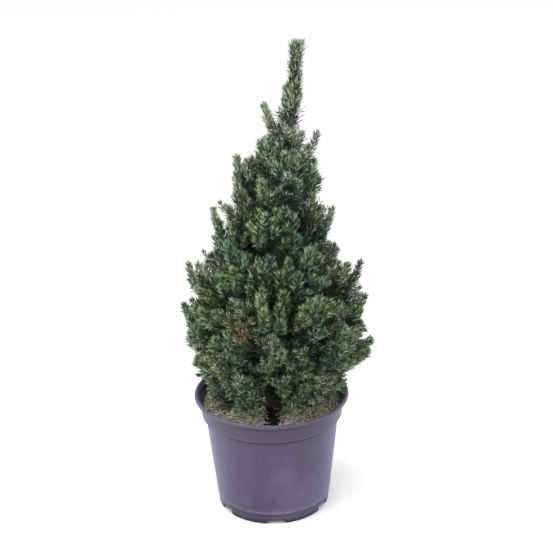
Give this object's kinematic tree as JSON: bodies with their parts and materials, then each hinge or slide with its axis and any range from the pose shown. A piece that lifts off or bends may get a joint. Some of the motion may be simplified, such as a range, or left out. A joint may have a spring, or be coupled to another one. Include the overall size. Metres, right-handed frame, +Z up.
{
  "type": "potted dwarf alberta spruce",
  "caption": "Dwarf conifer with a narrow cone of dense upswept foliage and a leaning leader, growing in a tapered round nursery pot with a rolled rim and a notched foot.",
  "frame": {"origin": "on the pot's axis, at the flat underside of the pot", "axes": "+Z up along the pot's axis, -Y towards the front of the plant, +X to the side that the leader leans to"},
  "size_m": [0.2353, 0.2154, 0.586],
  "materials": {
    "pot": "satin",
    "soil": "matte",
    "bark": "matte",
    "foliage": "matte"
  },
  "bodies": {
    "root": {"pot": "pot", "soil": "soil", "trunk": "bark", "bough_shoulder_1": "bark", "bough_shoulder_2": "bark", "bough_shoulder_3": "bark", "bough_shoulder_4": "bark", "bough_middle_1": "bark", "bough_middle_2": "bark", "bough_middle_3": "bark", "bough_middle_4": "bark", "bough_middle_5": "bark", "bough_middle_6": "bark", "bough_low_1": "bark", "bough_low_2": "bark", "bough_low_3": "bark", "bough_low_4": "bark", "bough_low_5": "bark", "bough_low_6": "bark", "bough_low_7": "bark", "bough_skirt_1": "bark", "bough_skirt_2": "bark", "bough_skirt_3": "bark", "bough_skirt_4": "bark", "bough_skirt_5": "bark", "bough_skirt_6": "bark", "foliage_leader": "foliage", "foliage_peak": "foliage", "foliage_top_1": "foliage", "foliage_top_2": "foliage", "foliage_top_3": "foliage", "foliage_upper_1": "foliage", "foliage_upper_2": "foliage", "foliage_upper_3": "foliage", "foliage_upper_4": "foliage", "foliage_shoulder_1": "foliage", "foliage_shoulder_2": "foliage", "foliage_shoulder_3": "foliage", "foliage_shoulder_4": "foliage", "foliage_middle_1": "foliage", "foliage_middle_2": "foliage", "foliage_middle_3": "foliage", "foliage_middle_4": "foliage", "foliage_middle_5": "foliage", "foliage_middle_6": "foliage", "foliage_low_1": "foliage", "foliage_low_2": "foliage", "foliage_low_3": "foliage", "foliage_low_4": "foliage", "foliage_low_5": "foliage", "foliage_low_6": "foliage", "foliage_low_7": "foliage", "foliage_skirt_1": "foliage", "foliage_skirt_2": "foliage", "foliage_skirt_3": "foliage", "foliage_skirt_4": "foliage", "foliage_skirt_5": "foliage", "foliage_skirt_6": "foliage"}
  },
  "joints": []
}
